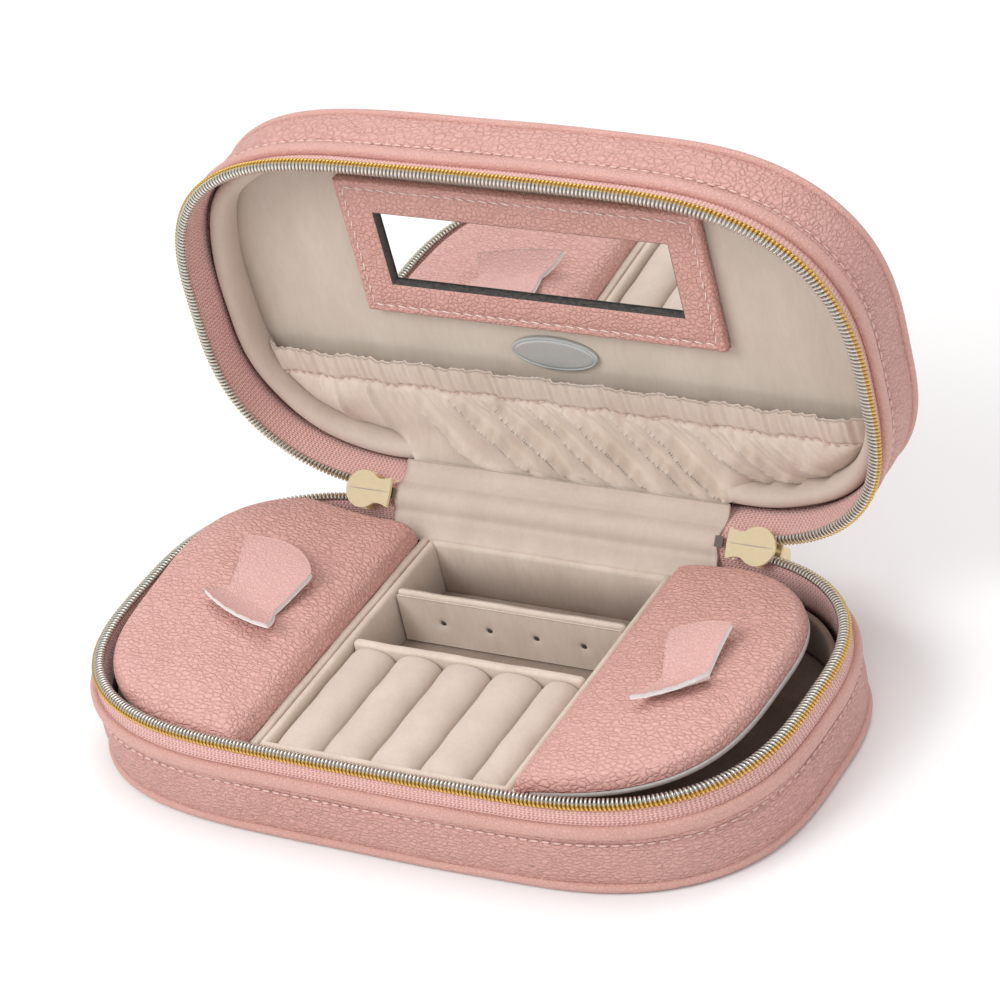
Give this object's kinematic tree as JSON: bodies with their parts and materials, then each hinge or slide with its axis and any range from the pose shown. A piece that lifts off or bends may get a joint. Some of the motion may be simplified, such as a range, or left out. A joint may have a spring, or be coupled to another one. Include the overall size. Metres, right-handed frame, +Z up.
{
  "type": "travel jewelry case",
  "caption": "Zip-round leatherette jewelry case with compartment tray, ring rolls, flip-up padded covers and a lid with mirror and gathered pocket.",
  "frame": {"origin": "centre of the flat underside of the base", "axes": "+X along the case, +Y towards the hinge, +Z up"},
  "size_m": [0.2076, 0.1385, 0.1373],
  "materials": {
    "pebbled_leather": "pink pebbled grain, satin",
    "piping": "smooth pink folded piping, satin",
    "velvet": "cream short-pile velvet",
    "zip_tape": "pink woven zip tape",
    "zip_teeth": "silver coil with a gold edge",
    "gold_metal": "polished pale gold",
    "board": "grey-white raw board",
    "mirror_glass": "silvered glass",
    "plaque_metal": "satin silver, blank",
    "elastic": "woven elastic"
  },
  "bodies": {
    "base": {"base_outer_panel": "pebbled_leather", "base_side_wall": "pebbled_leather", "base_panel_piping": "piping", "base_rim_piping": "piping", "base_zip_tape": "zip_tape", "base_zip_coil": "zip_teeth", "base_lining": "velvet", "base_hinge_strip": "pebbled_leather", "base_gusset": "velvet", "inner_floor": "velvet", "tray_frame": "velvet", "left_partition": "velvet", "right_partition": "velvet", "earring_board": "velvet", "roll_board": "velvet", "ring_roll_1": "velvet", "ring_roll_2": "velvet", "ring_roll_3": "velvet", "ring_roll_4": "velvet", "ring_roll_5": "velvet"},
    "left_cover": {"left_cover_board": "board", "left_cover_pad": "pebbled_leather", "left_pull_tab": "pebbled_leather"},
    "right_cover": {"right_cover_board": "board", "right_cover_pad": "pebbled_leather", "right_pull_tab": "pebbled_leather"},
    "lid": {"lid_outer_panel": "pebbled_leather", "lid_side_wall": "pebbled_leather", "lid_panel_piping": "piping", "lid_rim_piping": "piping", "lid_zip_tape": "zip_tape", "lid_zip_coil": "zip_teeth", "lid_lining": "velvet", "lid_hinge_strip": "pebbled_leather", "lid_gusset": "velvet", "lid_inner_panel": "velvet", "mirror_frame": "pebbled_leather", "mirror": "mirror_glass", "plaque": "plaque_metal", "lid_pocket": "velvet", "pocket_header": "velvet", "pocket_elastic": "elastic"},
    "left_zip_end": {"left_zip_end": "zip_tape"},
    "left_slider": {"left_slider": "gold_metal"},
    "left_puller": {"left_puller": "gold_metal"},
    "right_zip_end": {"right_zip_end": "zip_tape"},
    "right_slider": {"right_slider": "gold_metal"},
    "right_puller": {"right_puller": "gold_metal"}
  },
  "joints": [
    {"name": "lid_hinge", "type": "hinge", "parent": "base", "child": "lid", "pos_m": [0, 0.0531, 0.027], "axis": [-1, 0, 0], "range_deg": [-87, 25]},
    {"name": "left_cover_hinge", "type": "hinge", "parent": "base", "child": "left_cover", "pos_m": [-0.0406, 0, 0.01965], "axis": [0, 1, 0], "range_deg": [-2.5, 88]},
    {"name": "right_cover_hinge", "type": "hinge", "parent": "base", "child": "right_cover", "pos_m": [0.0406, 0, 0.01965], "axis": [0, -1, 0], "range_deg": [-5.5, 85]},
    {"name": "left_chain_turn", "type": "hinge", "parent": "base", "child": "left_zip_end", "pos_m": [-0.048, 0.0531, 0.027], "axis": [-1, 0, 0], "range_deg": [-43.5, 12.5]},
    {"name": "right_chain_turn", "type": "hinge", "parent": "base", "child": "right_zip_end", "pos_m": [0.048, 0.0531, 0.027], "axis": [-1, 0, 0], "range_deg": [-43.5, 12.5]},
    {"name": "left_slider_travel", "type": "slide", "parent": "left_zip_end", "child": "left_slider", "axis": [-1, 0, 0], "range_m": [0, 0.008]},
    {"name": "right_slider_travel", "type": "slide", "parent": "right_zip_end", "child": "right_slider", "axis": [1, 0, 0], "range_m": [-0.003, 0.005]},
    {"name": "left_puller_swing", "type": "hinge", "parent": "left_slider", "child": "left_puller", "pos_m": [-0.057, 0.05451, 0.02566], "axis": [0, 0.6884, 0.7254], "range_deg": [-80, 80]},
    {"name": "right_puller_swing", "type": "hinge", "parent": "right_slider", "child": "right_puller", "pos_m": [0.06, 0.05451, 0.02566], "axis": [0, 0.6884, 0.7254], "range_deg": [-80, 80]}
  ],
  "couplings": [
    {"joint": "left_chain_turn", "follows": "lid_hinge", "ratio": 0.5},
    {"joint": "right_chain_turn", "follows": "lid_hinge", "ratio": 0.5}
  ]
}
